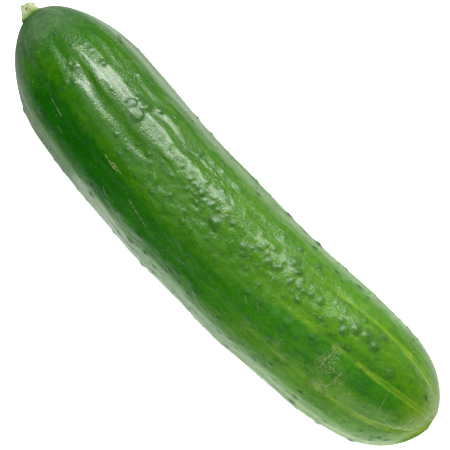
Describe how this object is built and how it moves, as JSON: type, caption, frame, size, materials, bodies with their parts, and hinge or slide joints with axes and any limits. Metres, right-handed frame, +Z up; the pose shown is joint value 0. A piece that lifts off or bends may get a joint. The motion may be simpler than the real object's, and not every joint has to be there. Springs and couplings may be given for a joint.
{
  "type": "cucumber",
  "caption": "Whole fresh cucumber, slightly bowed, with warty ribbed green skin and a cut stub of stalk, lying on its side.",
  "frame": {"origin": "centre of the bounding box, on the surface that the cucumber lies on", "axes": "+X along the fruit from the cut stalk to the blossom end, +Z up, with the hollow side of its bow facing +Y"},
  "size_m": [0.1944, 0.0492, 0.0458],
  "materials": {
    "skin": "waxy green skin, darker and greyer at the stalk end, yellower with pale seams at the blossom end",
    "stalk": "pale yellow-green dry stalk with brown specks"
  },
  "bodies": {
    "root": {"fruit": "skin", "stalk": "stalk"}
  },
  "joints": []
}
